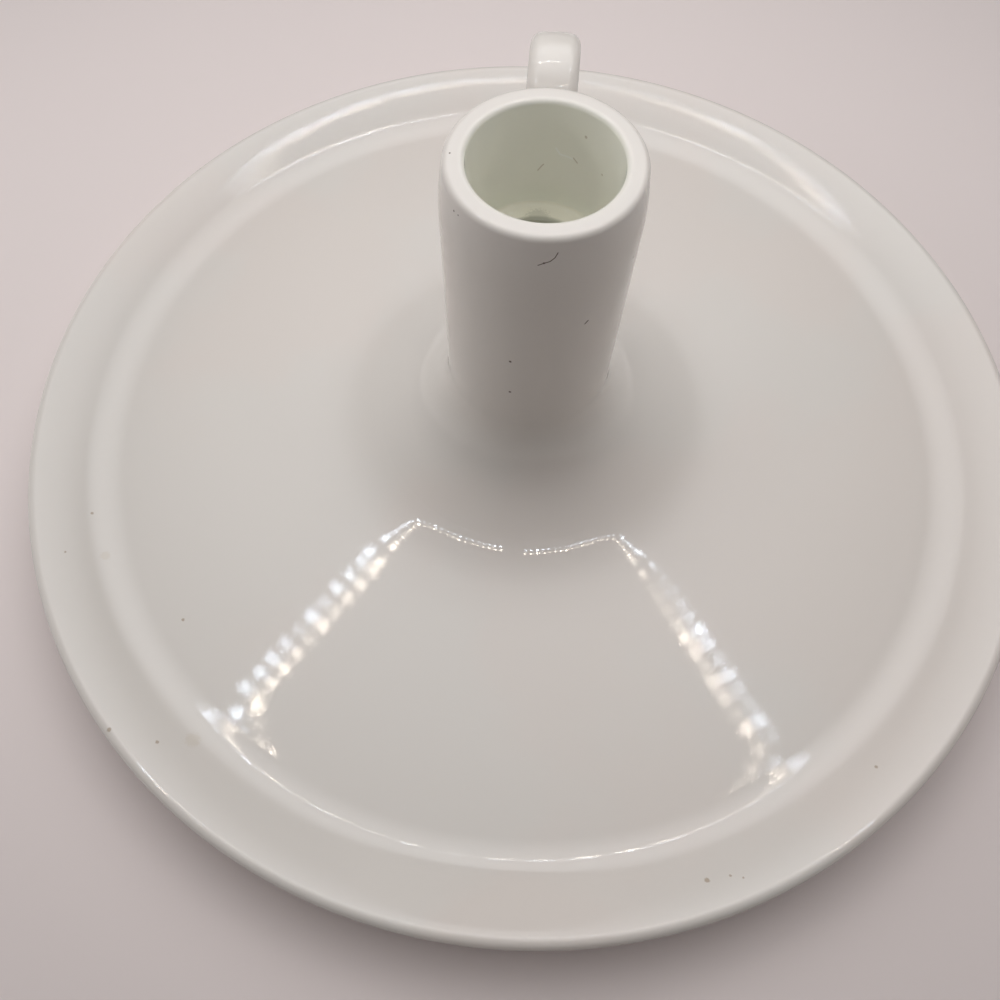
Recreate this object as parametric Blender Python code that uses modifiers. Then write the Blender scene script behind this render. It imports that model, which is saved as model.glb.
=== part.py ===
# White glazed porcelain candlestick: a round dished plate, a hollow stem with a candle socket,
# a ledge ring inside the socket and a strap handle behind the stem.
# Metres, +Z up, the table at z = 0, the handle towards +Y.

import math

import bmesh
import bpy

# Plate
plate_radius = 0.1000
lip_radius = 0.0014
lip_height = 0.0149
rim_width = 0.0150
well_height = 0.0080
well_curve = 0.0080
well_thickness = 0.0048
outer_wall_slope = math.radians(38)
underside_curve = 0.0120
foot_ring_inset = 0.0340
foot_ring_width = 0.0036
foot_ring_edge = 0.0005
vent_radius = 0.0060

# Stem
stem_top = 0.0760
socket_radius = 0.0112
socket_wall = 0.0031
rim_rounding = 0.0010
flare_width = 0.0151
flare_height = 0.0235
flange_edge = 0.0006
seat_depth = 0.0015

# Ledge ring that the candle stands on
socket_depth = 0.0195
ledge_thickness = 0.0030
ledge_width = 0.0032
ledge_overlap = 0.0012
ledge_chamfer = 0.0003

# Strap handle
strap_width = 0.0080
strap_thickness = 0.0040
strap_rounding = 0.0013
handle_reach = 0.0365
crest_drop = 0.0028
upper_bend = 0.0093
lower_bend = 0.0210
grip_length = 0.0064
upper_root_slope = math.radians(45)
lower_root_slope = math.radians(32)
grip_lean = math.radians(8)
root_width = 0.0100
root_length = 0.0070
root_depth = 0.0040

# Fit, facets, glazes and the quarter turn that the outlines use
gap = 0.0003
plate_steps = 96
stem_steps = 48
sharp_angle = math.radians(40)
glaze_colour = (0.80, 0.79, 0.76, 1.0)
glaze_roughness = 0.08
ledge_colour = (0.70, 0.69, 0.64, 1.0)
ledge_roughness = 0.25
quarter = math.radians(90)

# Sizes that follow from those above
well_radius = plate_radius - rim_width
foot_ring_radius = plate_radius - foot_ring_inset
stem_radius = socket_radius + socket_wall
hollow_radius = socket_radius - ledge_overlap
seat_radius = stem_radius + flare_width + flange_edge + gap
seat_height = well_height - seat_depth
flange_bottom = seat_height + gap
underside_height = well_height - well_thickness
ledge_top = stem_top - socket_depth
ledge_bottom = ledge_top - ledge_thickness
ledge_seat = ledge_bottom - gap
ledge_hole_radius = socket_radius - ledge_width
bell_centre = (stem_radius + flare_width, well_height + flare_height)
handle_crest = stem_top - crest_drop


def arc(centre, radius, start, end, pieces):
    # Points on a circle in the profile plane, from one angle to another.
    angles = [start + (end - start) * i / pieces for i in range(pieces + 1)]
    return [(centre[0] + radius * math.cos(a), centre[1] + radius * math.sin(a)) for a in angles]


def trumpet(centre, half_width, half_height, lowest, pieces):
    # Points down an ellipse that bells outwards, from upright to the height where it is cut off.
    last = math.asin(min(1.0, (centre[1] - lowest) / half_height))
    angles = [last * i / pieces for i in range(pieces + 1)]
    return [(centre[0] - half_width * math.cos(a), centre[1] - half_height * math.sin(a)) for a in angles]


def straight(start, end, pieces):
    # Points along a line, without its first one.
    shares = [i / pieces for i in range(1, pieces + 1)]
    return [(start[0] + (end[0] - start[0]) * s, start[1] + (end[1] - start[1]) * s) for s in shares]


def plate_profile():
    # The well's curve and the lip's bead lie on opposite sides of the sloping rim between them.
    curve_centre = (well_radius, well_height + well_curve)
    bead_centre = (plate_radius - lip_radius, lip_height - lip_radius)
    across = bead_centre[0] - curve_centre[0]
    rise = bead_centre[1] - curve_centre[1]
    span = math.hypot(across, rise)
    rim_slope = math.atan2(rise, across) + math.asin((well_curve + lip_radius) / span)

    # The outer wall leaves the bead and rounds into the flat underside.
    wall_top = (bead_centre[0] + lip_radius * math.sin(outer_wall_slope),
                bead_centre[1] - lip_radius * math.cos(outer_wall_slope))
    drop = underside_height + underside_curve - wall_top[1]
    inset = (underside_curve - drop * math.cos(outer_wall_slope)) / math.sin(outer_wall_slope)
    round_centre = (wall_top[0] - inset, underside_height + underside_curve)

    ring_inner = foot_ring_radius - foot_ring_width
    profile = [(vent_radius, seat_height), (seat_radius, seat_height), (seat_radius, well_height)]
    profile += arc(curve_centre, well_curve, -quarter, rim_slope - quarter, 6)
    profile += arc(bead_centre, lip_radius, rim_slope + quarter, outer_wall_slope - quarter, 9)
    profile += arc(round_centre, underside_curve, outer_wall_slope - quarter, -quarter, 4)
    profile += [(foot_ring_radius, underside_height), (foot_ring_radius - foot_ring_edge, foot_ring_edge)]
    profile += [(foot_ring_radius - 2 * foot_ring_edge, 0.0), (ring_inner + 2 * foot_ring_edge, 0.0)]
    profile += [(ring_inner + foot_ring_edge, foot_ring_edge), (ring_inner, underside_height)]
    profile += [(vent_radius, underside_height)]
    return profile


def stem_profile():
    # Outside: a rounded rim, a plain tube and a bell-shaped foot that ends in a thin flange.
    rim_height = stem_top - rim_rounding
    profile = arc((stem_radius - rim_rounding, rim_height), rim_rounding, quarter, 0.0, 4)
    profile += trumpet(bell_centre, flare_width, flare_height, well_height, 12)
    profile += [(seat_radius - gap, well_height), (seat_radius - gap, flange_bottom)]

    # Inside: the hollow foot follows the bell, and the socket above it steps out to the candle's width.
    wall = stem_radius - hollow_radius
    hollow = trumpet(bell_centre, flare_width + wall, flare_height + wall, flange_bottom, 7)
    profile += list(reversed(hollow))
    profile += [(hollow_radius, ledge_seat), (socket_radius, ledge_seat)]
    profile += arc((socket_radius + rim_rounding, rim_height), rim_rounding, 2 * quarter, quarter, 4)
    return profile


def ledge_profile():
    outer = socket_radius - gap
    return [(ledge_hole_radius, ledge_top - ledge_chamfer), (ledge_hole_radius + ledge_chamfer, ledge_top),
            (outer - ledge_chamfer, ledge_top), (outer, ledge_top - ledge_chamfer),
            (outer, ledge_bottom), (ledge_hole_radius, ledge_bottom)]


def handle_path():
    # The strap's centre line behind the stem, as pairs of distance from the axis and height.
    half = strap_thickness / 2
    upper = upper_bend - half
    lower = lower_bend - half
    crest_centre = (handle_reach - upper_bend, handle_crest - upper_bend)
    crest = arc(crest_centre, upper, upper_root_slope + quarter, -grip_lean, 12)
    inside = stem_radius - root_depth
    start = (inside, crest[0][1] - (crest[0][0] - inside) * math.tan(upper_root_slope))

    # The grip leans in from the crest, and a wide bend below it leads back down to the stem.
    grip_end = (crest[-1][0] - grip_length * math.sin(grip_lean),
                crest[-1][1] - grip_length * math.cos(grip_lean))
    bend_centre = (grip_end[0] - lower * math.cos(grip_lean), grip_end[1] + lower * math.sin(grip_lean))
    bend = arc(bend_centre, lower, -grip_lean, lower_root_slope - quarter, 9)
    end = (inside, bend[-1][1] - (bend[-1][0] - inside) * math.tan(lower_root_slope))

    path = [start] + straight(start, crest[0], 9) + crest[1:]
    path += straight(crest[-1], grip_end, 4) + bend[1:] + straight(bend[-1], end, 10)
    return path


def root_scale(distance):
    # The strap swells towards the stem, where slip fills the joint.
    share = max(0.0, min(1.0, 1.0 - (distance - stem_radius) / root_length))
    return (strap_width + (root_width - strap_width) * share * share) / strap_width


def new_collection(name):
    made = bpy.data.collections.new(name)
    bpy.context.scene.collection.children.link(made)
    return made


def new_material(name, colour, roughness):
    material = bpy.data.materials.new(name)
    material.use_nodes = True
    shader = material.node_tree.nodes["Principled BSDF"]
    shader.inputs["Base Color"].default_value = colour
    shader.inputs["Roughness"].default_value = roughness
    shader.inputs["Metallic"].default_value = 0.0
    return material


def turned(name, profile, edges, steps, collection):
    # An outline turned about Z, which runs down its outer side.
    mesh = bpy.data.meshes.new(name)
    mesh.from_pydata([(r, 0.0, z) for r, z in profile], edges, [])
    piece = bpy.data.objects.new(name, mesh)
    collection.objects.link(piece)
    screw = piece.modifiers.new("turn", "SCREW")
    screw.steps = steps
    screw.render_steps = steps
    screw.use_merge_vertices = True
    screw.merge_threshold = 0.00001
    return piece


def turned_ring(name, profile, steps):
    # A piece with a hole through its middle, so its outline is closed.
    count = len(profile)
    return turned(name, profile, [(i, (i + 1) % count) for i in range(count)], steps, candlestick)


def swept_strap(name):
    # The strap's section, a flat bar with rounded edges, carried along the handle's path.
    half_thickness = strap_thickness / 2 - strap_rounding
    half_width = strap_width / 2 - strap_rounding
    section = bpy.data.curves.new(name + "_section", "CURVE")
    section.dimensions = "2D"
    outline = []
    for x, y, start in ((1, 1, 1), (1, -1, 0), (-1, -1, -1), (-1, 1, -2)):
        corner = (x * half_thickness, y * half_width)
        outline += arc(corner, strap_rounding, start * quarter, (start - 1) * quarter, 3)
    spline = section.splines.new("POLY")
    spline.points.add(len(outline) - 1)
    for point, (x, y) in zip(spline.points, outline):
        point.co = (x, y, 0.0, 1.0)
    spline.use_cyclic_u = True
    guide = bpy.data.objects.new(name + "_section", section)
    cutters.objects.link(guide)

    path = handle_path()
    curve = bpy.data.curves.new(name + "_path", "CURVE")
    curve.dimensions = "2D"
    curve.fill_mode = "NONE"
    curve.bevel_mode = "OBJECT"
    curve.bevel_object = guide
    curve.use_fill_caps = True
    spline = curve.splines.new("POLY")
    spline.points.add(len(path) - 1)
    for point, (distance, height) in zip(spline.points, path):
        point.co = (distance, height, 0.0, 1.0)
        point.radius = root_scale(distance)
    sweep = bpy.data.objects.new(name + "_path", curve)
    candlestick.objects.link(sweep)
    sweep.rotation_euler = (quarter, 0.0, quarter)
    bpy.context.view_layer.update()

    mesh = bpy.data.meshes.new_from_object(sweep.evaluated_get(bpy.context.evaluated_depsgraph_get()))
    weld = bmesh.new()
    weld.from_mesh(mesh)
    bmesh.ops.remove_doubles(weld, verts=weld.verts, dist=0.00001)
    bmesh.ops.recalc_face_normals(weld, faces=weld.faces)
    weld.to_mesh(mesh)
    weld.free()
    mesh.name = name
    strap = bpy.data.objects.new(name, mesh)
    strap.matrix_world = sweep.matrix_world.copy()
    candlestick.objects.link(strap)
    bpy.data.objects.remove(sweep)
    bpy.data.objects.remove(guide)
    return strap


def stem_cutter():
    # The stem's outside with its clearance, from axis to axis, to shape the handle's roots.
    outside = [(0.0, stem_top), (stem_radius + gap, stem_top)]
    outside += trumpet(bell_centre, flare_width - gap, flare_height - gap, well_height, 12)
    outside += [(0.0, well_height)]
    edges = [(i, i + 1) for i in range(len(outside) - 1)]
    cutter = turned("stem_cutter", outside, edges, stem_steps, cutters)
    cutter.hide_render = True
    cutter.display_type = "WIRE"
    return cutter


for leftover in list(bpy.data.objects):
    bpy.data.objects.remove(leftover)

candlestick = new_collection("candlestick")
cutters = new_collection("cutters")
centre = bpy.data.objects.new("candlestick_centre", None)
candlestick.objects.link(centre)

plate = turned_ring("drip_plate", plate_profile(), plate_steps)
stem = turned_ring("candle_stem", stem_profile(), stem_steps)
ledge = turned_ring("candle_ledge", ledge_profile(), stem_steps)
plate.data.materials.append(new_material("plate_glaze", glaze_colour, glaze_roughness))
stem.data.materials.append(new_material("stem_glaze", glaze_colour, glaze_roughness))
ledge.data.materials.append(new_material("ledge_glaze", ledge_colour, ledge_roughness))

handle = swept_strap("strap_handle")
handle.data.materials.clear()
handle.data.materials.append(new_material("handle_glaze", glaze_colour, glaze_roughness))
seat = handle.modifiers.new("seat_on_stem", "BOOLEAN")
seat.operation = "DIFFERENCE"
seat.solver = "EXACT"
seat.object = stem_cutter()

for piece in (plate, stem, ledge, handle):
    piece.parent = centre
    piece.data.shade_smooth()
    piece.data.set_sharp_from_angle(angle=sharp_angle)
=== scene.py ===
# Candlestick in white glazed porcelain: fine meshes, glaze, floor, lamps and camera
import math

import bmesh
import bpy
from mathutils import Matrix, Vector


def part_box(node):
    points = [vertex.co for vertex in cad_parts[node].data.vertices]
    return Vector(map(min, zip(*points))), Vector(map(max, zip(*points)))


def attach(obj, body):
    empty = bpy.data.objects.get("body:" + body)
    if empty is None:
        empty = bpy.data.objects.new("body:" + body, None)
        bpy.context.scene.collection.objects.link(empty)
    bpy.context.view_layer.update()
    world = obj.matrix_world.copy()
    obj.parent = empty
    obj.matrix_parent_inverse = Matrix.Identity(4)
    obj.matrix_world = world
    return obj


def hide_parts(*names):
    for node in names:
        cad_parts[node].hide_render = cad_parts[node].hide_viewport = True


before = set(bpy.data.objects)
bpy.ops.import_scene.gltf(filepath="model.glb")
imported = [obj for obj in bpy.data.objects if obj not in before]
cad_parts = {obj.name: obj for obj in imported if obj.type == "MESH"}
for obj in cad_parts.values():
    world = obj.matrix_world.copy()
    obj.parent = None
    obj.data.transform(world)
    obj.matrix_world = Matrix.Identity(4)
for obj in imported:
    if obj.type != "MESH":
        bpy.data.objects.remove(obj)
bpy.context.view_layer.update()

mm = 0.001  # all sizes in the dictionaries below are in millimetres
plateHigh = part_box("drip_plate")[1]
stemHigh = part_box("candle_stem")[1]
ledgeLow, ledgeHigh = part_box("candle_ledge")
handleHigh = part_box("strap_handle")[1]
print("frame loaded:", ", ".join(sorted(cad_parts)))

def startPiece(name):
    # a small plane, open for editing
    bpy.ops.object.select_all(action="DESELECT")
    bpy.ops.mesh.primitive_plane_add(size=mm)
    piece = bpy.context.object
    piece.name = name
    piece.data.name = name
    bpy.ops.object.mode_set(mode="EDIT")
    bpy.ops.mesh.select_all(action="SELECT")
    return piece


def closePiece():
    # weld the seams, turn the faces outwards and shade them smooth
    bpy.ops.mesh.select_all(action="SELECT")
    bpy.ops.mesh.remove_doubles(threshold=0.002 * mm)
    bpy.ops.mesh.normals_make_consistent(inside=False)
    bpy.ops.object.mode_set(mode="OBJECT")
    bpy.ops.object.shade_smooth()


# Outlines: one vertex drawn along a piece's section, then spun into the piece

def drawOutline(name, steps, holding=0.25):
    # a step is a point (x, z) to go to, or a round stretch (centre x, centre z, degrees, pieces)
    x, z = steps[0]
    piece = startPiece(name)
    bpy.ops.mesh.merge(type="CENTER")
    bpy.ops.transform.translate(value=(x * mm, 0, z * mm))
    for step in steps[1:]:
        if len(step) == 2:
            # a long straight stretch gets a holding edge near each end, so that it shades flat
            length = math.hypot(step[0] - x, step[1] - z)
            shares = [holding / length, 1 - holding / length, 1] if length > 4 * holding else [1]
            fromX, fromZ = x, z
            for share in shares:
                nextX, nextZ = fromX + (step[0] - fromX) * share, fromZ + (step[1] - fromZ) * share
                bpy.ops.mesh.extrude_region_move(
                    TRANSFORM_OT_translate={"value": ((nextX - x) * mm, 0, (nextZ - z) * mm)})
                x, z = nextX, nextZ
        else:
            centreX, centreZ, degrees, pieces = step
            turn = math.radians(degrees)
            bpy.ops.mesh.spin(steps=pieces, angle=turn, center=(centreX * mm, 0, centreZ * mm), axis=(0, 1, 0))
            x, z = (centreX + (x - centreX) * math.cos(turn) - (z - centreZ) * math.sin(turn),
                    centreZ + (x - centreX) * math.sin(turn) + (z - centreZ) * math.cos(turn))
    return piece


def turnOutline(piece, sides):
    bpy.ops.mesh.select_all(action="SELECT")
    bpy.ops.mesh.spin(steps=sides, angle=math.tau, center=(0, 0, 0), axis=(0, 0, 1))
    closePiece()
    return piece


def trumpet(centreX, centreZ, halfWidth, halfHeight, lowest, pieces):
    # points down the inside of the bell foot, from upright to the height where it is cut off
    last = math.asin(min(1.0, (centreZ - lowest) / halfHeight))
    angles = [last * i / pieces for i in range(pieces + 1)]
    return [(centreX - halfWidth * math.cos(a), centreZ - halfHeight * math.sin(a)) for a in angles]


# Plate

plateShape = {
    "radius": plateHigh.x / mm,
    "lipTop": plateHigh.z / mm,
    "lipRadius": 1.4,
    "wellRadius": 83.8,
    "wellHeight": 8.0,
    "wellCurve": 12.0,
    "rimCrown": 60.0,
    "bodyThickness": 4.8,
    "outerWallSlope": 38,
    "undersideCurve": 12.0,
    "footRadius": 66.0,
    "footWidth": 3.6,
    "footEdge": 0.7,
    "footFillet": 1.2,
    "ventRadius": 6.0,
    "ventEdge": 0.8,
    "seatReach": 6.0,  # the seat under the stem's foot runs this far in from the joint
    "seatStep": (1.5, 0.6),
    "sides": 288,
}

# the flare sweeps from the upright tube into the plate in round bends: (radius, slope at the lower end)
# the short ones on both sides of the joint hold its shading
flareBends = ((18.87, 32.3), (34.0, 21.1), (34.0, 21.0), (34.0, 20.9), (34.0, 11.3), (32.0, 3.2), (90.0, 0.0))
tubeRadius = 15.2
jointBend = 3  # so many bends belong to the stem, the others to the plate's shoulder


def sweptBends(x, z, slope, bends):
    # round stretches that follow one another smoothly, and the place where they end
    steps = []
    for bend, lowerSlope in bends:
        start, end = math.radians(slope), math.radians(lowerSlope)
        centreX, centreZ = x + bend * math.sin(start), z + bend * math.cos(start)
        steps.append((centreX, centreZ, slope - lowerSlope, math.ceil((slope - lowerSlope) / 1.6)))
        x, z, slope = centreX - bend * math.sin(end), centreZ - bend * math.cos(end), lowerSlope
    return steps, x, z


flareHeight = -sweptBends(tubeRadius, 0, 90, flareBends)[2]
jointX, jointZ = sweptBends(tubeRadius, plateShape["wellHeight"] + flareHeight, 90, flareBends[:jointBend])[1:]


def makePlate(s):
    curveX, curveZ = s["wellRadius"], s["wellHeight"] + s["wellCurve"]
    beadX, beadZ = s["radius"] - s["lipRadius"], s["lipTop"] - s["lipRadius"]
    # the rim is crowned: a wide round stretch that runs on smoothly from the well's curve into the bead
    span = math.hypot(beadX - curveX, beadZ - curveZ)
    nearArm, farArm = s["rimCrown"] + s["wellCurve"], s["rimCrown"] - s["lipRadius"]
    swing = math.acos((nearArm ** 2 + span ** 2 - farArm ** 2) / (2 * nearArm * span))
    toCrown = math.atan2(beadZ - curveZ, beadX - curveX) - swing
    crownX, crownZ = curveX + nearArm * math.cos(toCrown), curveZ + nearArm * math.sin(toCrown)
    lowSlope = 90 + math.degrees(toCrown)
    topSlope = math.degrees(math.atan2(crownX - beadX, beadZ - crownZ))
    wall = math.radians(s["outerWallSlope"])
    wallTopX = beadX + s["lipRadius"] * math.sin(wall)
    wallTopZ = beadZ - s["lipRadius"] * math.cos(wall)
    under = s["wellHeight"] - s["bodyThickness"]
    drop = under + s["undersideCurve"] - wallTopZ
    roundX = wallTopX - (s["undersideCurve"] - drop * math.cos(wall)) / math.sin(wall)
    wallFoot = (roundX + s["undersideCurve"] * math.sin(wall),
                under + s["undersideCurve"] * (1 - math.cos(wall)))
    vent, ventEdge, edge, fillet = s["ventRadius"], s["ventEdge"], s["footEdge"], s["footFillet"]
    outer, inner = s["footRadius"], s["footRadius"] - s["footWidth"]
    shoulder, shoulderEnd = sweptBends(jointX, jointZ, flareBends[jointBend - 1][1], flareBends[jointBend:])[:2]
    plate = drawOutline("porcelain_plate", [
        (vent, s["wellHeight"] - ventEdge),
        (vent + ventEdge, s["wellHeight"] - ventEdge, -90, 4),
        (jointX - s["seatReach"], s["wellHeight"]),
        (jointX - s["seatStep"][0], jointZ - s["seatStep"][1]),
        (jointX, jointZ),
        *shoulder,
        ((shoulderEnd + curveX) / 2, s["wellHeight"]),
        (curveX, s["wellHeight"]),
        (curveX, curveZ, lowSlope, 20),
        (crownX, crownZ, topSlope - lowSlope, 8),
        (beadX, beadZ, -(180 + topSlope - s["outerWallSlope"]), 24),
        wallFoot,
        (roundX, under + s["undersideCurve"], -s["outerWallSlope"], 10),
        (outer + fillet, under),
        (outer + fillet, under - fillet, 90, 5),
        (outer, edge),
        (outer - edge, edge, -90, 4),
        (inner + edge, 0.0),
        (inner + edge, edge, -90, 4),
        (inner, under - fillet),
        (inner - fillet, under - fillet, 90, 5),
        (vent + ventEdge, under),
        (vent + ventEdge, under + ventEdge, -90, 4),
        (vent, s["wellHeight"] - ventEdge),
    ])
    return turnOutline(plate, s["sides"])


plate = makePlate(plateShape)
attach(plate, "root")
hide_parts("drip_plate")
print("plate turned:", len(plate.data.polygons), "faces")

# Stem with its bell foot and socket

stemShape = {
    "radius": tubeRadius,
    "top": stemHigh.z / mm,
    "outerRounding": 1.0,
    "innerRounding": 0.7,
    "neckTaper": 0.75,
    "neckAngle": 10,
    "socketRadius": 11.2,
    "hollowRadius": 10.0,
    "bellWidth": 15.1,
    "bellHeight": 23.5,
    "ledgeSeat": ledgeLow.z / mm - 0.3,
    "jointEdge": 0.06,
    "soleDepth": 0.3,
    "soleWidth": 4.0,
    "lift": 0.006,
    "buried": 0.06,
    "sides": 224,
}


def makeStem(s):
    floor = plateShape["wellHeight"]
    # under its rounded rim the tube widens by the taper, down to its upright part
    outer, inner, turn = s["outerRounding"], s["innerRounding"], math.radians(s["neckAngle"])
    neckBend = s["neckTaper"] / (1 - math.cos(turn))
    rimX = s["radius"] - s["neckTaper"] - outer * math.cos(turn)
    neckZ = s["top"] - outer + outer * math.sin(turn) - neckBend * math.sin(turn)
    bellX, bellZ = s["radius"] + s["bellWidth"], floor + s["bellHeight"]
    wall = s["radius"] - s["hollowRadius"]
    flareTop = floor + flareHeight + s["lift"]
    flare, footX, footZ = sweptBends(s["radius"], flareTop, 90, flareBends[:jointBend])
    footSlope = math.radians(flareBends[jointBend - 1][1])
    edge = s["jointEdge"]
    steps = [(rimX, s["top"]),
             (rimX, s["top"] - outer, s["neckAngle"] - 90, 9),
             (s["radius"] - neckBend, neckZ, -s["neckAngle"], 8),
             (s["radius"], flareTop),
             *flare,
             (footX - edge * math.sin(footSlope), footZ - edge * math.cos(footSlope),
              math.degrees(footSlope) - 90, 4),
             (footX + edge * (1 - math.sin(footSlope)), footZ - s["soleDepth"]),
             (footX - s["soleWidth"], floor - s["buried"])]
    steps += list(reversed(trumpet(bellX, bellZ, s["bellWidth"] + wall, s["bellHeight"] + wall,
                                   floor - s["buried"], 20)))
    steps += [(s["hollowRadius"], s["ledgeSeat"]), (s["socketRadius"], s["ledgeSeat"])]
    steps += [(s["socketRadius"], s["top"] - inner), (s["socketRadius"] + inner, s["top"] - inner, -90, 10)]
    steps += [steps[0]]
    return turnOutline(drawOutline("porcelain_stem", steps), s["sides"])


stem = makeStem(stemShape)
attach(stem, "root")
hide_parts("candle_stem")
print("stem turned:", len(stem.data.polygons), "faces")

# Ledge ring that the candle stands on

ledgeShape = {
    "outer": ledgeHigh.x / mm,
    "top": ledgeHigh.z / mm,
    "bottom": ledgeLow.z / mm,
    "holeRadius": 7.5,
    "rounding": 0.7,
    "pooling": 0.6,
    "buried": 0.05,
    "sides": 128,
}


def makeLedge(s):
    hole, soft, pool = s["holeRadius"], s["rounding"], s["pooling"]
    wall = stemShape["socketRadius"]
    outer = wall + s["buried"]
    # the glaze pools in the corner between the ledge and the socket's wall
    return turnOutline(drawOutline("porcelain_ledge", [
        (hole, s["top"] - soft),
        (hole + soft, s["top"] - soft, -90, 6),
        (wall - pool, s["top"]),
        (wall - pool, s["top"] + pool, 90, 6),
        (outer, s["top"] + pool),
        (outer, s["bottom"]),
        (hole + soft, s["bottom"]),
        (hole + soft, s["bottom"] + soft, -90, 6),
        (hole, s["top"] - soft),
    ]), s["sides"])


ledge = makeLedge(ledgeShape)
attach(ledge, "root")
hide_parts("candle_ledge")
print("ledge ring turned:", len(ledge.data.polygons), "faces")

# Strap handle

handleShape = {
    "width": 8.0,
    "thickness": 4.0,
    "rounding": 1.6,
    "crown": 0.22,
    "cornerSteps": 6,
    "flatCuts": 7,
    "reach": handleHigh.y / mm,
    "crest": handleHigh.z / mm,
    "upperBend": 9.3,
    "upperSteps": 36,
    "lowerBend": 21.0,
    "lowerSteps": 18,
    "gripLength": 6.4,
    "gripLean": 8,
    "upperSlope": 45,
    "lowerSlope": 32,
    "rootFillet": 2.2,
    "filletRings": 10,
    "rootGap": 1.0,
    "rootSkirt": 0.5,
    "rootDepths": (0.05, 1.2),
}


def extrudeRun(way, length, holding=0.25):
    # a straight run with a holding edge near each end, so that it shades flat
    for part in (holding * mm, length - 2 * holding * mm, holding * mm):
        bpy.ops.mesh.extrude_region_move(TRANSFORM_OT_translate={"value": way * part})


def newestRing(mesh):
    return [v for v in mesh.verts if v.select]


def placeRing(piece, places):
    # each selected vertex goes to the place worked out for the vertex that it came from
    mesh = bmesh.from_edit_mesh(piece.data)
    for vertex in newestRing(mesh):
        nearest = min(places, key=lambda pair: (pair[0] - vertex.co).length_squared)
        vertex.co = nearest[1]
    bmesh.update_edit_mesh(piece.data)


def seatRoot(piece, ahead, s, wallRadius):
    # the strap's end runs on to the stem's wall and spreads over it in a round fillet
    mesh = bmesh.from_edit_mesh(piece.data)
    starts = [v.co.copy() for v in newestRing(mesh)]
    middle = sum(starts, Vector()) / len(starts)
    # the way out of the section at each vertex, square to its rounded edge
    coreX = s["width"] / 2 * mm - s["rounding"] * mm
    coreT = s["thickness"] / 2 * mm - s["rounding"] * mm
    outwards = []
    for place in starts:
        across = place.x - middle.x
        over = (place - middle) - Vector((across, 0, 0))
        pastX = max(-coreX, min(coreX, across))
        pastT = over.normalized() * min(over.length, coreT)
        outwards.append(((place - middle) - Vector((pastX, 0, 0)) - pastT).normalized())
    fillet = s["rootFillet"]
    angles = [math.pi / 2 * k / s["filletRings"] for k in range(s["filletRings"] + 1)]
    rings = [(fillet * (1 - math.sin(angle)), fillet * (1 - math.cos(angle))) for angle in angles]
    rings += [(-depth, fillet + s["rootSkirt"]) for depth in s["rootDepths"]]
    current = list(starts)
    for clearance, spread in rings:
        radius = wallRadius + clearance * mm
        target = []
        for start, outward in zip(starts, outwards):
            # where the strap's line meets the round wall of this radius
            a = ahead.x ** 2 + ahead.y ** 2
            b = 2 * (start.x * ahead.x + start.y * ahead.y)
            c = start.x ** 2 + start.y ** 2 - radius ** 2
            along = (-b - math.sqrt(b * b - 4 * a * c)) / (2 * a)
            spot = start + ahead * along
            radial = Vector((spot.x, spot.y, 0)).normalized()
            sideways = (outward - radial * outward.dot(radial)).normalized()
            spot += sideways * spread * mm
            flat = Vector((spot.x, spot.y, 0))
            flat *= radius / flat.length
            target.append(Vector((flat.x, flat.y, spot.z)))
        bpy.ops.mesh.extrude_region_move(TRANSFORM_OT_translate={"value": (0, 0, 0)})
        placeRing(piece, list(zip(current, target)))
        current = target


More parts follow.
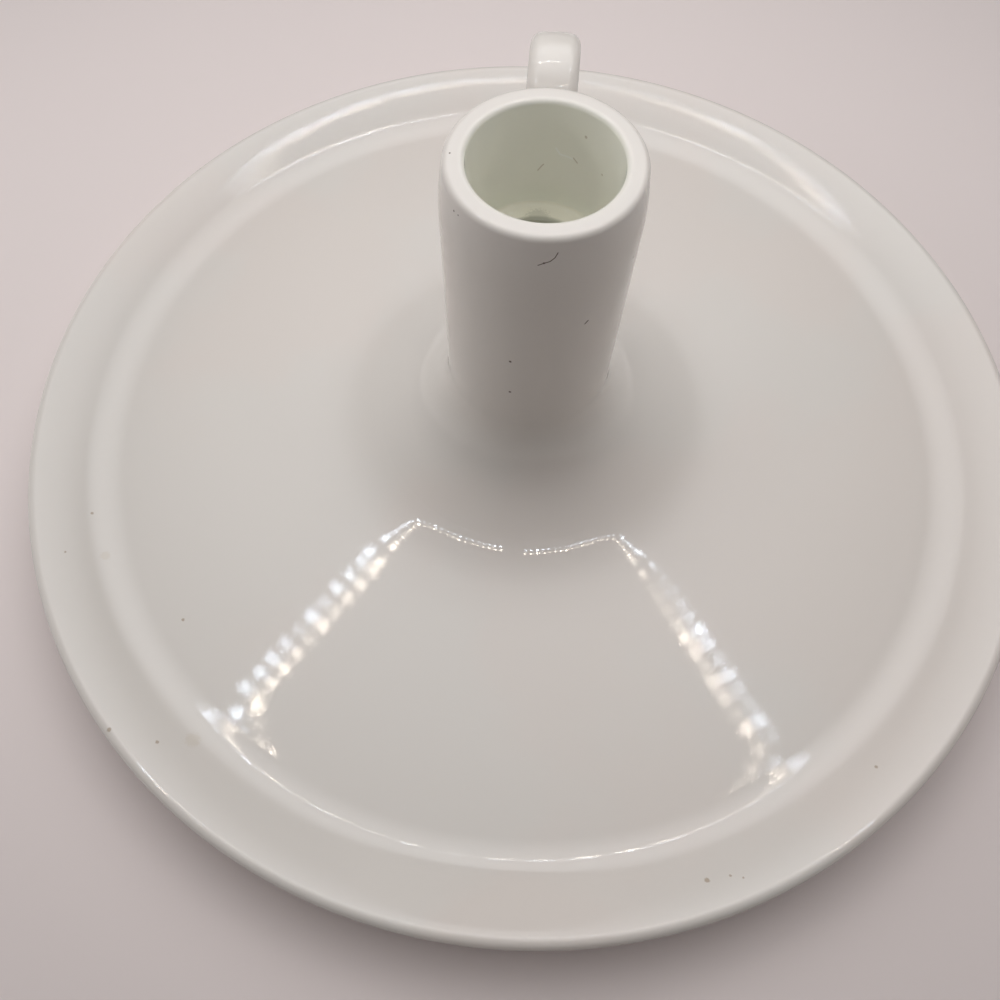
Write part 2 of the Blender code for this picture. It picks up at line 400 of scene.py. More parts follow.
def makeHandle(s, wallRadius):
    lean, up, down = (math.radians(s[key]) for key in ("gripLean", "upperSlope", "lowerSlope"))
    half = s["thickness"] / 2
    upper, lower = (s["upperBend"] - half) * mm, (s["lowerBend"] - half) * mm
    crestCentre = Vector((0, (s["reach"] - s["upperBend"]) * mm, (s["crest"] - s["upperBend"]) * mm))
    crestStart = crestCentre + upper * Vector((0, -math.sin(up), math.cos(up)))

    # the section: a plane with rounded corners and extra points along its long sides
    piece = startPiece("porcelain_handle")
    bpy.ops.transform.resize(value=(s["width"], s["thickness"], 1))
    bpy.ops.mesh.bevel(offset=s["rounding"] * mm, segments=s["cornerSteps"], affect="VERTICES")
    bpy.ops.mesh.delete(type="ONLY_FACE")
    mesh = bmesh.from_edit_mesh(piece.data)
    longest = max(e.calc_length() for e in mesh.edges)
    for edge in mesh.edges:
        edge.select = edge.calc_length() > longest * 0.99
    bmesh.update_edit_mesh(piece.data)
    bpy.ops.mesh.subdivide(number_cuts=s["flatCuts"])
    # the broad faces are a little crowned
    for vertex in bmesh.from_edit_mesh(piece.data).verts:
        vertex.co.y *= 1 - s["crown"] * (vertex.co.x / (s["width"] / 2 * mm)) ** 2
    bmesh.update_edit_mesh(piece.data)
    bpy.ops.mesh.select_all(action="SELECT")
    bpy.ops.mesh.edge_face_add()
    bpy.ops.object.mode_set(mode="OBJECT")
    piece.rotation_euler = (math.pi / 2 + up, 0, 0)
    piece.location = crestStart
    bpy.ops.object.transform_apply(location=True, rotation=True, scale=True)

    # crest, grip, lower bend and the straight run towards the lower root
    bpy.ops.object.mode_set(mode="EDIT")
    bpy.ops.mesh.select_all(action="SELECT")
    bpy.ops.mesh.spin(steps=s["upperSteps"], angle=up + math.pi / 2 + lean, center=crestCentre, axis=(1, 0, 0))
    gripWay = Vector((0, -math.sin(lean), -math.cos(lean)))
    extrudeRun(gripWay, s["gripLength"] * mm)
    gripSide = Vector((0, math.cos(lean), -math.sin(lean)))
    gripEnd = crestCentre + upper * gripSide + gripWay * s["gripLength"] * mm
    bendCentre = gripEnd - lower * gripSide
    bpy.ops.mesh.spin(steps=s["lowerSteps"], angle=math.pi / 2 - down - lean, center=bendCentre, axis=(1, 0, 0))
    bendEnd = bendCentre + lower * Vector((0, math.sin(down), -math.cos(down)))
    lowerWay = Vector((0, -math.cos(down), -math.sin(down)))
    clear = (s["rootFillet"] + half + s["rootGap"]) * mm
    extrudeRun(lowerWay, (bendEnd.y - wallRadius - clear) / math.cos(down))
    seatRoot(piece, lowerWay, s, wallRadius)

    # back to the first face, and down to the upper root
    upperWay = Vector((0, -math.cos(up), -math.sin(up)))
    bpy.ops.mesh.select_all(action="DESELECT")
    mesh = bmesh.from_edit_mesh(piece.data)
    for face in mesh.faces:
        if all(abs((v.co - crestStart).dot(upperWay)) < 0.01 * mm for v in face.verts):
            face.select = True
    bmesh.update_edit_mesh(piece.data)
    extrudeRun(upperWay, (crestStart.y - wallRadius - clear) / math.cos(up))
    seatRoot(piece, upperWay, s, wallRadius)
    closePiece()
    return piece


handle = makeHandle(handleShape, stemShape["radius"] * mm)
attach(handle, "root")
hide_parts("strap_handle")
print("handle swept:", len(handle.data.polygons), "faces")

# Glaze: node groups that the materials share

def newGroup(name, inputs, outputs):
    group = bpy.data.node_groups.new(name, "ShaderNodeTree")
    for label, kind, value in inputs:
        socket = group.interface.new_socket(name=label, in_out="INPUT", socket_type=kind)
        if value is not None:
            socket.default_value = value
    for label, kind in outputs:
        group.interface.new_socket(name=label, in_out="OUTPUT", socket_type=kind)
    return group, group.nodes.new("NodeGroupInput").outputs, group.nodes.new("NodeGroupOutput").inputs


def feed(tree, socket, value):
    if isinstance(value, bpy.types.NodeSocket):
        tree.links.new(value, socket)
    else:
        socket.default_value = value


def calc(tree, operation, *values, clamp=False):
    node = tree.nodes.new("ShaderNodeMath")
    node.operation = operation
    node.use_clamp = clamp
    for socket, value in zip(node.inputs, values):
        feed(tree, socket, value)
    return node.outputs[0]


def onVectors(tree, operation, first, second=None):
    node = tree.nodes.new("ShaderNodeVectorMath")
    node.operation = operation
    feed(tree, node.inputs[0], first)
    if second is not None:
        feed(tree, node.inputs["Scale" if operation == "SCALE" else 1], second)
    return node.outputs["Value" if operation in ("DOT_PRODUCT", "DISTANCE", "LENGTH") else "Vector"]


def fadeOver(tree, value, start, end):
    # 0 at the start, 1 at the end and smooth between them; the end may be the lower one
    node = tree.nodes.new("ShaderNodeMapRange")
    node.interpolation_type = "SMOOTHSTEP"
    for label, setting in (("Value", value), ("From Min", start), ("From Max", end)):
        feed(tree, node.inputs[label], setting)
    return node.outputs[0]


def between(tree, value, low, high, blur):
    # 1 inside low..high, fading to 0 over the blur outside
    rise = fadeOver(tree, value, calc(tree, "SUBTRACT", low, blur), low)
    fall = fadeOver(tree, value, calc(tree, "ADD", high, blur), high)
    return calc(tree, "MULTIPLY", rise, fall)


def noise(tree, vector, scale, detail=1.0, roughness=0.5):
    node = tree.nodes.new("ShaderNodeTexNoise")
    node.inputs["Scale"].default_value = scale
    node.inputs["Detail"].default_value = detail
    node.inputs["Roughness"].default_value = roughness
    feed(tree, node.inputs["Vector"], vector)
    return node.outputs["Fac"]


def mixColour(tree, factor, first, second, blend="MIX"):
    node = tree.nodes.new("ShaderNodeMix")
    node.data_type = "RGBA"
    node.blend_type = blend
    feed(tree, node.inputs["Factor"], factor)
    feed(tree, node.inputs["A"], first)
    feed(tree, node.inputs["B"], second)
    return node.outputs["Result"]


def objectPlace(tree):
    return tree.nodes.new("ShaderNodeTexCoord").outputs["Object"]


def placeGroup(tree, group, vector, **values):
    node = tree.nodes.new("ShaderNodeGroup")
    node.node_tree = group
    feed(tree, node.inputs["Vector"], vector)
    for label, value in values.items():
        feed(tree, node.inputs[label], value)
    return node.outputs[0]


def makeGlazeWaves():
    # the fired surface: slow warp, the ripple of the dip and the fine skin of the glaze
    group, ins, outs = newGroup("glazeWaves", [
        ("Vector", "NodeSocketVector", None),
        ("Warp", "NodeSocketFloat", 0.00006),
        ("Ripple", "NodeSocketFloat", 0.00002),
        ("Skin", "NodeSocketFloat", 0.000004)], [("Height", "NodeSocketFloat")])
    total = 0.0
    for label, scale, detail in (("Warp", 34.0, 1.0), ("Ripple", 150.0, 1.0), ("Skin", 2800.0, 1.0)):
        wave = calc(group, "SUBTRACT", noise(group, ins["Vector"], scale, detail), 0.5)
        total = calc(group, "ADD", total, calc(group, "MULTIPLY", wave, ins[label]))
    group.links.new(total, outs["Height"])
    return group


def makeKilnShade():
    # the white drifts a little between a warm and a cool tone
    group, ins, outs = newGroup("kilnShade", [
        ("Vector", "NodeSocketVector", None),
        ("Glaze", "NodeSocketColor", (0.72, 0.69, 0.66, 1)),
        ("Warm", "NodeSocketColor", (0.73, 0.68, 0.63, 1)),
        ("Cool", "NodeSocketColor", (0.70, 0.69, 0.67, 1)),
        ("Cloud Size", "NodeSocketFloat", 28.0)], [("Color", "NodeSocketColor")])
    cloud = group.nodes.new("ShaderNodeTexNoise")
    cloud.inputs["Detail"].default_value = 3.0
    feed(group, cloud.inputs["Vector"], ins["Vector"])
    feed(group, cloud.inputs["Scale"], ins["Cloud Size"])
    warmShare = between(group, cloud.outputs["Fac"], 0.56, 2.0, 0.14)
    coolShare = between(group, cloud.outputs["Fac"], -1.0, 0.44, 0.14)
    shade = mixColour(group, warmShare, ins["Glaze"], ins["Warm"])
    shade = mixColour(group, coolShare, shade, ins["Cool"])
    group.links.new(shade, outs["Color"])
    return group


def makePinSpecks():
    # iron specks and pinholes: a dot in a few of the cells
    group, ins, outs = newGroup("pinSpecks", [
        ("Vector", "NodeSocketVector", None),
        ("Cells", "NodeSocketFloat", 90.0),
        ("Size", "NodeSocketFloat", 0.02),
        ("Share", "NodeSocketFloat", 0.05)], [("Mask", "NodeSocketFloat")])
    cells = group.nodes.new("ShaderNodeTexVoronoi")
    feed(group, cells.inputs["Vector"], ins["Vector"])
    feed(group, cells.inputs["Scale"], ins["Cells"])
    parts = group.nodes.new("ShaderNodeSeparateColor")
    feed(group, parts.inputs[0], cells.outputs["Color"])
    chosen = calc(group, "LESS_THAN", parts.outputs["Red"], ins["Share"])
    reach = calc(group, "MULTIPLY", ins["Size"], calc(group, "ADD", 0.4, parts.outputs["Green"]))
    dot = fadeOver(group, cells.outputs["Distance"], reach, calc(group, "MULTIPLY", reach, 0.5))
    group.links.new(calc(group, "MULTIPLY", dot, chosen), outs["Mask"])
    return group


def makeTurnedZone():
    # a band round the axis, given by its radii and heights
    group, ins, outs = newGroup("turnedZone", [
        ("Vector", "NodeSocketVector", None),
        ("Inner", "NodeSocketFloat", -1.0),
        ("Outer", "NodeSocketFloat", 1.0),
        ("Low", "NodeSocketFloat", -1.0),
        ("High", "NodeSocketFloat", 1.0),
        ("Blur", "NodeSocketFloat", 0.0005)], [("Mask", "NodeSocketFloat")])
    parts = group.nodes.new("ShaderNodeSeparateXYZ")
    feed(group, parts.inputs[0], ins["Vector"])
    across = calc(group, "ADD", calc(group, "MULTIPLY", parts.outputs[0], parts.outputs[0]),
                  calc(group, "MULTIPLY", parts.outputs[1], parts.outputs[1]))
    radius = calc(group, "SQRT", across)
    band = between(group, radius, ins["Inner"], ins["Outer"], ins["Blur"])
    layer = between(group, parts.outputs[2], ins["Low"], ins["High"], ins["Blur"])
    group.links.new(calc(group, "MULTIPLY", band, layer), outs["Mask"])
    return group


def makeSpotMark():
    # one ragged spot at a place
    group, ins, outs = newGroup("spotMark", [
        ("Vector", "NodeSocketVector", None),
        ("Place", "NodeSocketVector", (0, 0, 0)),
        ("Size", "NodeSocketFloat", 0.0004)], [("Mask", "NodeSocketFloat")])
    away = onVectors(group, "DISTANCE", ins["Vector"], ins["Place"])
    uneven = calc(group, "ADD", 0.35, noise(group, ins["Vector"], 2600.0, 2.0))
    ragged = calc(group, "MULTIPLY", ins["Size"], uneven)
    group.links.new(between(group, away, -1.0, calc(group, "MULTIPLY", ragged, 0.6),
                            calc(group, "MULTIPLY", ragged, 0.5)), outs["Mask"])
    return group


def makeHairMark():
    # a fine line from one place to another
    group, ins, outs = newGroup("hairMark", [
        ("Vector", "NodeSocketVector", None),
        ("Start", "NodeSocketVector", (0, 0, 0)),
        ("End", "NodeSocketVector", (0, 0, 0.001)),
        ("Width", "NodeSocketFloat", 0.0001)], [("Mask", "NodeSocketFloat")])
    way = onVectors(group, "SUBTRACT", ins["End"], ins["Start"])
    past = onVectors(group, "SUBTRACT", ins["Vector"], ins["Start"])
    share = calc(group, "DIVIDE", onVectors(group, "DOT_PRODUCT", past, way),
                 onVectors(group, "DOT_PRODUCT", way, way), clamp=True)
    away = onVectors(group, "SUBTRACT", past, onVectors(group, "SCALE", way, share))
    distance = onVectors(group, "LENGTH", away)
    group.links.new(between(group, distance, -1.0, calc(group, "MULTIPLY", ins["Width"], 0.3),
                            calc(group, "MULTIPLY", ins["Width"], 0.4)), outs["Mask"])
    return group


glazeWaves = makeGlazeWaves()
kilnShade = makeKilnShade()
pinSpecks = makePinSpecks()
turnedZone = makeTurnedZone()
spotMark = makeSpotMark()
hairMark = makeHairMark()
print("glaze groups built")

# Materials

glazeLook = {
    "white": (0.71, 0.66, 0.62, 1),
    "warm": (0.713, 0.655, 0.614, 1),
    "cool": (0.705, 0.663, 0.625, 1),
    "cloudSize": 17.0,
    "roughness": 0.040,
    "smear": 0.012,
    "smearScale": 60.0,
    "warp": 0.06,
    "ripple": 0.008,
    "skin": 0.0006,
    "wear": 0.0033,
    "rimWear": 2,  # so many times the wear
    "rubbed": (46, 84, 5),  # inner radius, outer radius, blur
    "rimDip": (89, 97, 2),
    "specks": {"Cells": 80.0, "Size": 0.035, "Share": 0.10},
    "speckColour": (0.48, 0.40, 0.33, 1),
    "speckDepth": 0.03,
}


def ringZone(tree, place, inner, outer, blur, low=-1000, high=1000):
    # the surface between two radii and two heights
    return placeGroup(tree, turnedZone, place, Inner=inner * mm, Outer=outer * mm, Low=low * mm, High=high * mm,
                      Blur=blur * mm)


def startGlaze(name, look):
    material = bpy.data.materials.new(name)
    material.use_nodes = True
    tree = material.node_tree
    shader = tree.nodes["Principled BSDF"]
    place = objectPlace(tree)
    colour = placeGroup(tree, kilnShade, place, Glaze=look["white"], Warm=look["warm"], Cool=look["cool"],
                        **{"Cloud Size": look["cloudSize"]})
    specks = placeGroup(tree, pinSpecks, place, **look["specks"])
    colour = mixColour(tree, specks, colour, look["speckColour"])
    # the flat of the well and the rim are rubbed by use, so their skin is rougher
    skin = look["skin"] * mm
    for zone, wear in (("rubbed", look["wear"]), ("rimDip", look["rimWear"] * look["wear"])):
        skin = calc(tree, "ADD", skin, calc(tree, "MULTIPLY", ringZone(tree, place, *look[zone]), wear * mm))
    height = placeGroup(tree, glazeWaves, place, Warp=look["warp"] * mm, Ripple=look["ripple"] * mm, Skin=skin)
    height = calc(tree, "SUBTRACT", height, calc(tree, "MULTIPLY", specks, look["speckDepth"] * mm))
    smears = calc(tree, "MULTIPLY", noise(tree, place, look["smearScale"], 4.0, 0.6), look["smear"])
    roughness = calc(tree, "ADD", smears, look["roughness"])
    return material, tree, shader, place, colour, roughness, height


def endGlaze(tree, shader, colour, roughness, height):
    bump = tree.nodes.new("ShaderNodeBump")
    bump.inputs["Distance"].default_value = 1.0
    feed(tree, bump.inputs["Height"], height)
    feed(tree, shader.inputs["Base Color"], colour)
    feed(tree, shader.inputs["Roughness"], roughness)
    feed(tree, shader.inputs["Normal"], bump.outputs["Normal"])


def addHairs(tree, place, colour, hairs, hairColour):
    for width, *points in hairs:
        for start, end in zip(points[:-1], points[1:]):
            mask = placeGroup(tree, hairMark, place, Start=[v * mm for v in start], End=[v * mm for v in end],
                              Width=width * mm)
            colour = mixColour(tree, mask, colour, hairColour)
    return colour


def addSpots(tree, place, colour, spots, spotColour):
    for x, y, z, size in spots:
        mask = placeGroup(tree, spotMark, place, Place=(x * mm, y * mm, z * mm), Size=size * mm)
        colour = mixColour(tree, mask, colour, spotColour)
    return colour


plateLook = {
    "bareClay": (0.66, 0.60, 0.52, 1),
    "clayGrit": (0.42, 0.35, 0.28, 1),
    "grit": {"Cells": 900.0, "Size": 0.30, "Share": 0.25},
    "grainScale": 3000.0,
    "grainDepth": 0.04,
    "bareRoughness": 0.72,
    "bareMargin": 0.6,
    "raggedScale": 400.0,
    # a spot is x, y, z and size
    "spots": ((36.0, -87.0, 12.6, 0.55), (39.7, -86.0, 12.9, 0.3), (41.6, -86.1, 13.4, 0.25),
              (-83.9, -32.0, 9.6, 0.4), (-84.8, -41.5, 12.7, 0.3), (-61.1, -51.3, 8.0, 0.4),
              (-58.2, -74.2, 12.6, 0.45), (-66.0, -73.2, 14.9, 0.5), (65.4, -66.6, 12.0, 0.4)),
    "smudges": ((-53.3, -73.2, 9.5, 1.9), (-79.0, -40.4, 8.9, 1.2)),
    "smudgeColour": (0.675, 0.622, 0.565, 1),
}


def platePorcelain(s):
    material, tree, shader, place, colour, roughness, height = startGlaze("plate_porcelain", glazeLook)
    colour = addSpots(tree, place, colour, s["smudges"], s["smudgeColour"])
    colour = addSpots(tree, place, colour, s["spots"], glazeLook["speckColour"])
    # the foot ring was wiped free of glaze before firing: bare clay with a ragged glaze edge
    inner = plateShape["footRadius"] - plateShape["footWidth"] - s["bareMargin"]
    outer = plateShape["footRadius"] + s["bareMargin"]
    ragged = calc(tree, "MULTIPLY", noise(tree, place, s["raggedScale"], 2.0), s["bareMargin"] * mm)
    bare = placeGroup(tree, turnedZone, place, Inner=inner * mm, Outer=outer * mm, Low=-1.0, High=ragged,
                      Blur=0.15 * mm)
    grit = placeGroup(tree, pinSpecks, place, **s["grit"])
    clay = mixColour(tree, grit, s["bareClay"], s["clayGrit"])
    colour = mixColour(tree, bare, colour, clay)
    roughness = calc(tree, "ADD", roughness, calc(tree, "MULTIPLY", bare, s["bareRoughness"]), clamp=True)
    grain = calc(tree, "MULTIPLY", noise(tree, place, s["grainScale"], 3.0),
                 calc(tree, "MULTIPLY", bare, s["grainDepth"] * mm))
    endGlaze(tree, shader, colour, roughness, calc(tree, "ADD", height, grain))
    return material


stemLook = {
    # the socket's greenish tint of thicker glaze, painted much lighter than the glaze as painted light in the
    # bore
    "socketTintAndLight": (0.93, 0.92, 0.84, 1),
    # a greener, slightly darker band at the socket's floor: the tint of pooled glaze and painted shade
    "poolTintAndShade": (0.86, 0.87, 0.78, 1),
    "poolAndShadeHeight": 5.0,
    "poolAndShadeShare": 0.6,
    "markTone": (0.12, 0.09, 0.07, 1),
    "spots": ((-13.2, -0.3, 76.0, 0.18), (-11.75, -8.7, 74.0, 0.22), (-11.1, -9.5, 74.1, 0.16),
              (13.9, -6.2, 64.8, 0.22), (-2.9, -14.9, 48.7, 0.3), (-2.7, -15.0, 39.8, 0.3),
              (0.95, -14.85, 72.1, 0.24)),
    # a hair is its width and the points that it runs through
    "hairs": ((0.15, (0.17, -14.91, 71.7), (0.95, -14.85, 72.1), (1.72, -14.74, 72.4), (2.32, -14.57, 73.0),
               (2.65, -14.41, 73.8)),
              (0.26, (8.4, -12.7, 57.8), (8.0, -12.9, 57.3))),
    "socketSpots": ((5.6, 9.7, 71.5, 0.3), (8.6, 7.2, 67.1, 0.24)),
    "socketHairs": ((0.22, (-1.1, 11.1, 63.4), (-0.6, 11.15, 64.2), (-0.3, 11.18, 64.6)),
                    (0.22, (4.2, 10.4, 66.9), (4.8, 10.1, 66.3))),
    "dustTone": (0.70, 0.65, 0.56, 1),
    "scratches": ((0.3, (1.4, 11.1, 67.9), (2.1, 11.0, 66.9), (3.3, 10.7, 66.8), (4.0, 10.5, 66.7)),),
    "scratchTone": (0.97, 0.97, 0.92, 1),
}


def stemPorcelain(s):
    material, tree, shader, place, colour, roughness, height = startGlaze("stem_porcelain", glazeLook)
    seat, outer = stemShape["ledgeSeat"], stemShape["socketRadius"] + 0.2
    # painted light: the socket's inside is painted lighter than the outer glaze to brighten the bore, with the
    # greenish tint of its thicker glaze
    socket = ringZone(tree, place, -1000, outer, 1.0, seat, stemShape["top"] - stemShape["innerRounding"])
    colour = mixColour(tree, socket, colour, s["socketTintAndLight"])
    # greener and a little darker towards the socket's floor: pooled glaze tint and painted shade
    pooledAndShaded = ringZone(tree, place, -1000, outer, 4.0, seat, seat + s["poolAndShadeHeight"])
    colour = mixColour(tree, calc(tree, "MULTIPLY", pooledAndShaded, s["poolAndShadeShare"]), colour, s["poolTintAndShade"])
    colour = addSpots(tree, place, colour, s["spots"], s["markTone"])
    colour = addHairs(tree, place, colour, s["hairs"], s["markTone"])
    colour = addSpots(tree, place, colour, s["socketSpots"], s["dustTone"])
    colour = addHairs(tree, place, colour, s["socketHairs"], s["dustTone"])
    colour = addHairs(tree, place, colour, s["scratches"], s["scratchTone"])
    endGlaze(tree, shader, colour, roughness, height)
    return material


ledgeLook = {
    "tone": (0.90, 0.88, 0.80, 1),
    "waxTone": (0.84, 0.82, 0.70, 1),
    "waxScale": 320.0,
    "waxShare": 0.8,
    "waxRoughness": 0.25,
    "waxDepth": 0.08,
    "edgeWidth": 0.4,
    # a dark tone laid in a patchy band at the hole's edge and in one ragged spot at the hole's back edge
    "patchScale": 260.0,
    "darkMarkTone": (0.34, 0.34, 0.27, 1),
    "darkSpotPlace": (-0.5, 7.9, 0.1),
    "darkSpotSize": 2.6,
    "darkSpotShare": 0.35,
}


def ledgePorcelain(s):
    material, tree, shader, place, colour, roughness, height = startGlaze("ledge_porcelain", glazeLook)
    wax = between(tree, noise(tree, place, s["waxScale"], 3.0), 0.42, 2.0, 0.12)
    wax = calc(tree, "MULTIPLY", wax, s["waxShare"])
    colour = mixColour(tree, wax, s["tone"], s["waxTone"])
    # darker in a patchy band round the edge of the hole
    edge = ringZone(tree, place, -1000, ledgeShape["holeRadius"] + s["edgeWidth"], 0.9)
    patchy = between(tree, noise(tree, place, s["patchScale"], 4.0), 0.5, 2.0, 0.25)
    colour = mixColour(tree, calc(tree, "MULTIPLY", edge, patchy), colour, s["darkMarkTone"])
    # and darker in one ragged spot at the back edge of the hole
    x, y, above = s["darkSpotPlace"]
    darkSpot = placeGroup(tree, spotMark, place, Place=(x * mm, y * mm, (ledgeShape["top"] + above) * mm),
                       Size=s["darkSpotSize"] * mm)
    colour = mixColour(tree, calc(tree, "MULTIPLY", darkSpot, s["darkSpotShare"]), colour, s["darkMarkTone"])
    roughness = calc(tree, "ADD", roughness, calc(tree, "MULTIPLY", wax, s["waxRoughness"]), clamp=True)
    height = calc(tree, "ADD", height, calc(tree, "MULTIPLY", wax, s["waxDepth"] * mm))
    endGlaze(tree, shader, colour, roughness, height)
    return material


def handlePorcelain():
    material, tree, shader, place, colour, roughness, height = startGlaze("handle_porcelain", glazeLook)
    endGlaze(tree, shader, colour, roughness, height)
    return material


plate.data.materials.append(platePorcelain(plateLook))
stem.data.materials.append(stemPorcelain(stemLook))
ledge.data.materials.append(ledgePorcelain(ledgeLook))
handle.data.materials.append(handlePorcelain())
print("glazes mixed")

# Camera at the photograph's viewing angle

cameraSetup = {
    "place": (0.0, -88.6, 156.6),
    "down": 65.38,
    "left": 5.12,
    "roll": 0.27,
    "focalPixels": 805,
    "frameCentre": (486.5, 499.1),
    "frameSize": 1000,
    "sensor": 36,
    "nearest": 10,
}


def makeCamera(c):
    bpy.ops.object.camera_add(location=[v * mm for v in c["place"]])
    camera = bpy.context.object
    camera.name = "photo_camera"
    pitch, yaw, roll = (math.radians(c[key]) for key in ("down", "left", "roll"))
    ahead = Vector((-math.sin(yaw) * math.cos(pitch), math.cos(yaw) * math.cos(pitch), -math.sin(pitch)))
    right = Vector((math.cos(yaw), math.sin(yaw), 0))
    above = right.cross(ahead)
    rolledRight = right * math.cos(roll) + above * math.sin(roll)
    rolledAbove = above * math.cos(roll) - right * math.sin(roll)
    turn = Matrix((rolledRight, rolledAbove, -ahead)).transposed()
    camera.rotation_euler = turn.to_euler()
    camera.data.sensor_width = c["sensor"]
    camera.data.lens = c["sensor"] * c["focalPixels"] / c["frameSize"]
    camera.data.shift_x = 0.5 - c["frameCentre"][0] / c["frameSize"]
    camera.data.shift_y = c["frameCentre"][1] / c["frameSize"] - 0.5
    camera.data.clip_start = c["nearest"] * mm
    bpy.context.scene.camera = camera


makeCamera(cameraSetup)
print("camera placed")

# Floor, lamps and world

floorSetup = {
    "size": 4000,
    "colour": (0.785, 0.70, 0.685, 1),
    "roughness": 0.6,
    "farColour": (0.52, 0.475, 0.465, 1),
    "fade": (160, 360),
}


def makeFloor(s):
    bpy.ops.object.select_all(action="DESELECT")
    bpy.ops.mesh.primitive_plane_add(size=s["size"] * mm)
    floor = bpy.context.object
    floor.name = "floor"
    paint = bpy.data.materials.new("floor_paint")
    paint.use_nodes = True
    tree = paint.node_tree
    shader = tree.nodes["Principled BSDF"]
    shader.inputs["Base Color"].default_value = s["colour"]
    shader.inputs["Roughness"].default_value = s["roughness"]
    # far from the piece and its shadow the floor runs into the pale backdrop
    fade = fadeOver(tree, onVectors(tree, "LENGTH", objectPlace(tree)), s["fade"][0] * mm, s["fade"][1] * mm)
    seen = tree.nodes.new("ShaderNodeLightPath").outputs["Is Camera Ray"]
    backdrop = tree.nodes.new("ShaderNodeEmission")
    backdrop.inputs["Color"].default_value = s["farColour"]
    blend = tree.nodes.new("ShaderNodeMixShader")
    feed(tree, blend.inputs[0], calc(tree, "MULTIPLY", fade, seen))
    feed(tree, blend.inputs[1], shader.outputs[0])
    feed(tree, blend.inputs[2], backdrop.outputs[0])
    feed(tree, tree.nodes["Material Output"].inputs["Surface"], blend.outputs[0])
    floor.data.materials.append(paint)


makeFloor(floorSetup)


def areaLamp(name, place, width, height, radiance):
    bpy.ops.object.light_add(type="AREA", location=place)
    lamp = bpy.context.object
    lamp.name = name
    lamp.data.shape = "RECTANGLE"
    lamp.data.size, lamp.data.size_y = width, height
    lamp.data.energy = radiance * math.pi * width * height
    return lamp


# two rows of small lamps on a band round the opening over the plate
bandSetup = {
    "left": ((-45.7, 56.8, 231.8), (-67.3, 43.9, 230.5), (-117.9, -28.7, 240), (-108.6, -51.6, 240),
             (-84.8, -69.4, 240), (-50.9, -83.0, 240), (-12.7, -89.8, 240)),
    "right": ((50.6, 67.0, 251.2), (72.0, 56.9, 253.3), (127.6, -25.7, 248), (117.5, -49.1, 248),
              (91.8, -67.3, 248), (55.1, -81.2, 248), (13.8, -88.1, 248)),
    "rowGap": 8.0,
    "dot": 2.8,
    "pitch": 8.6,
    "dimmest": 0.15,
    "brightness": 78.0,
    "cool": (0.78, 0.88, 1.0),
    "warm": (1.0, 0.88, 0.74),
}


def dottedLight(lamp, count, s):
    lamp.data.use_nodes = True
    tree = lamp.data.node_tree
    parts = tree.nodes.new("ShaderNodeSeparateXYZ")
    feed(tree, parts.inputs[0], tree.nodes.new("ShaderNodeNewGeometry").outputs["Parametric"])
    steps = calc(tree, "MULTIPLY", parts.outputs[0], float(count))
    away = calc(tree, "ABSOLUTE", calc(tree, "SUBTRACT", calc(tree, "FRACT", steps), 0.5))
    dot = calc(tree, "LESS_THAN", away, s["dot"] / s["pitch"] / 2)
    # no two dots are equally bright
    chance = tree.nodes.new("ShaderNodeTexWhiteNoise")
    chance.noise_dimensions = "1D"
    seed = float(len(lamp.name) + 7 * count)
    feed(tree, chance.inputs["W"], calc(tree, "ADD", calc(tree, "FLOOR", steps), seed))
    varied = calc(tree, "MULTIPLY", chance.outputs["Value"], 1 - s["dimmest"])
    strength = calc(tree, "MULTIPLY", dot, calc(tree, "ADD", s["dimmest"], varied))
    feed(tree, tree.nodes["Emission"].inputs["Strength"], strength)


def makeBand(name, start, end, s):
    # two rows of lamps, the cool one on the outer side
    length = (end - start).length
    along = (end - start).normalized()
    side = Vector((0, 0, 1)).cross(along).normalized()
    for row, tone in ((-1, "cool"), (1, "warm")):
        place = (start + end) / 2 + side * row * s["rowGap"] / 2 * mm
        lamp = areaLamp(f"{name}_{tone}", place, length, s["dot"] * mm, s["brightness"])
        lamp.data.color = s[tone]
        lamp.rotation_euler = Matrix((along, side, along.cross(side).normalized())).transposed().to_euler()
        dottedLight(lamp, max(2, round(length / (s["pitch"] * mm))), s)


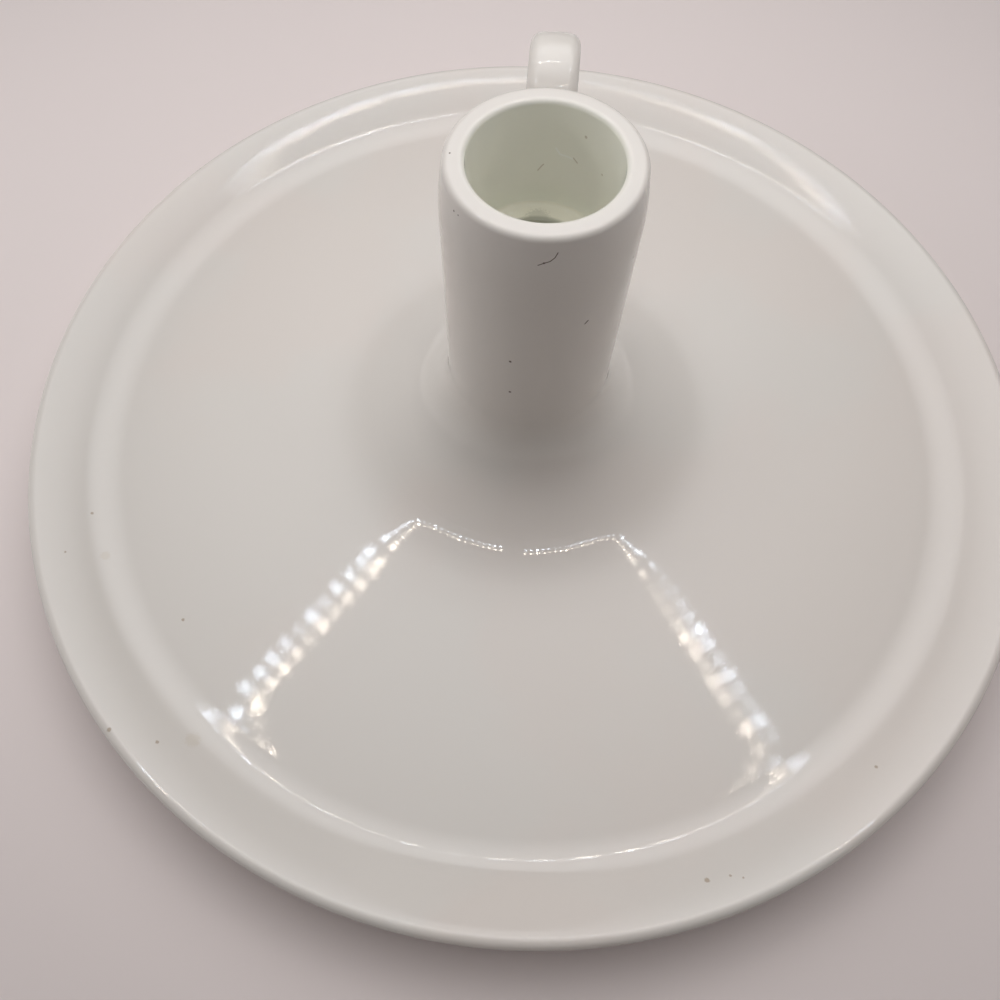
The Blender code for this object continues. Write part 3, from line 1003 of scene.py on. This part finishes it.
for side in ("left", "right"):
    corners = [Vector(place) * mm for place in bandSetup[side]]
    for number, ends in enumerate(zip(corners[:-1], corners[1:])):
        # seen from above all bands run counterclockwise, which keeps the cool row outside
        makeBand(f"band_{side}_{number}", *(ends if side == "left" else ends[::-1]), bandSetup)
makeBand("band_back", Vector(bandSetup["right"][0]) * mm, Vector(bandSetup["left"][0]) * mm, bandSetup)

softSetup = {
    "size": 660,
    "place": (0, 140, 320),
    "radiance": 2.4,
    "fade": (0.5, 0.05),  # from the edge to the bright middle, in widths of the panel
    "worldColour": (0.074, 0.071, 0.069, 1),
}


def makeSoftPanel(s):
    # a wide soft panel, brightest in the middle and fading out to its edges
    size = s["size"] * mm
    lamp = areaLamp("soft_panel", [v * mm for v in s["place"]], size, size, s["radiance"])
    lamp.data.use_nodes = True
    tree = lamp.data.node_tree
    across = tree.nodes.new("ShaderNodeNewGeometry").outputs["Parametric"]
    fromMiddle = onVectors(tree, "DISTANCE", across, (0.5, 0.5, 0.0))
    feed(tree, tree.nodes["Emission"].inputs["Strength"], fadeOver(tree, fromMiddle, *s["fade"]))


makeSoftPanel(softSetup)

sideSetup = {"reach": 320, "middle": (30, 150), "size": (420, 240), "left": 1.2, "right": 0.45}


def makeSidePanel(side, way, s):
    # a soft wall on each side, for the pale edges of the tube
    width, height = (v * mm for v in s["size"])
    lamp = areaLamp(f"soft_wall_{side}", Vector((way * s["reach"], *s["middle"])) * mm, width, height, s[side])
    along = Vector((0, way, 0))
    out = Vector((way, 0, 0))
    lamp.rotation_euler = Matrix((along, out.cross(along), out)).transposed().to_euler()
    lamp.visible_glossy = False


makeSidePanel("left", -1, sideSetup)
makeSidePanel("right", 1, sideSetup)
world = bpy.data.worlds.new("studio_world")
bpy.context.scene.world = world
world.use_nodes = True
worldTree = world.node_tree
sky = mixColour(worldTree, worldTree.nodes.new("ShaderNodeLightPath").outputs["Is Camera Ray"],
                softSetup["worldColour"], floorSetup["farColour"])
feed(worldTree, worldTree.nodes["Background"].inputs["Color"], sky)
print("floor and lamps placed")

bpy.context.scene.view_settings.view_transform = "Standard"
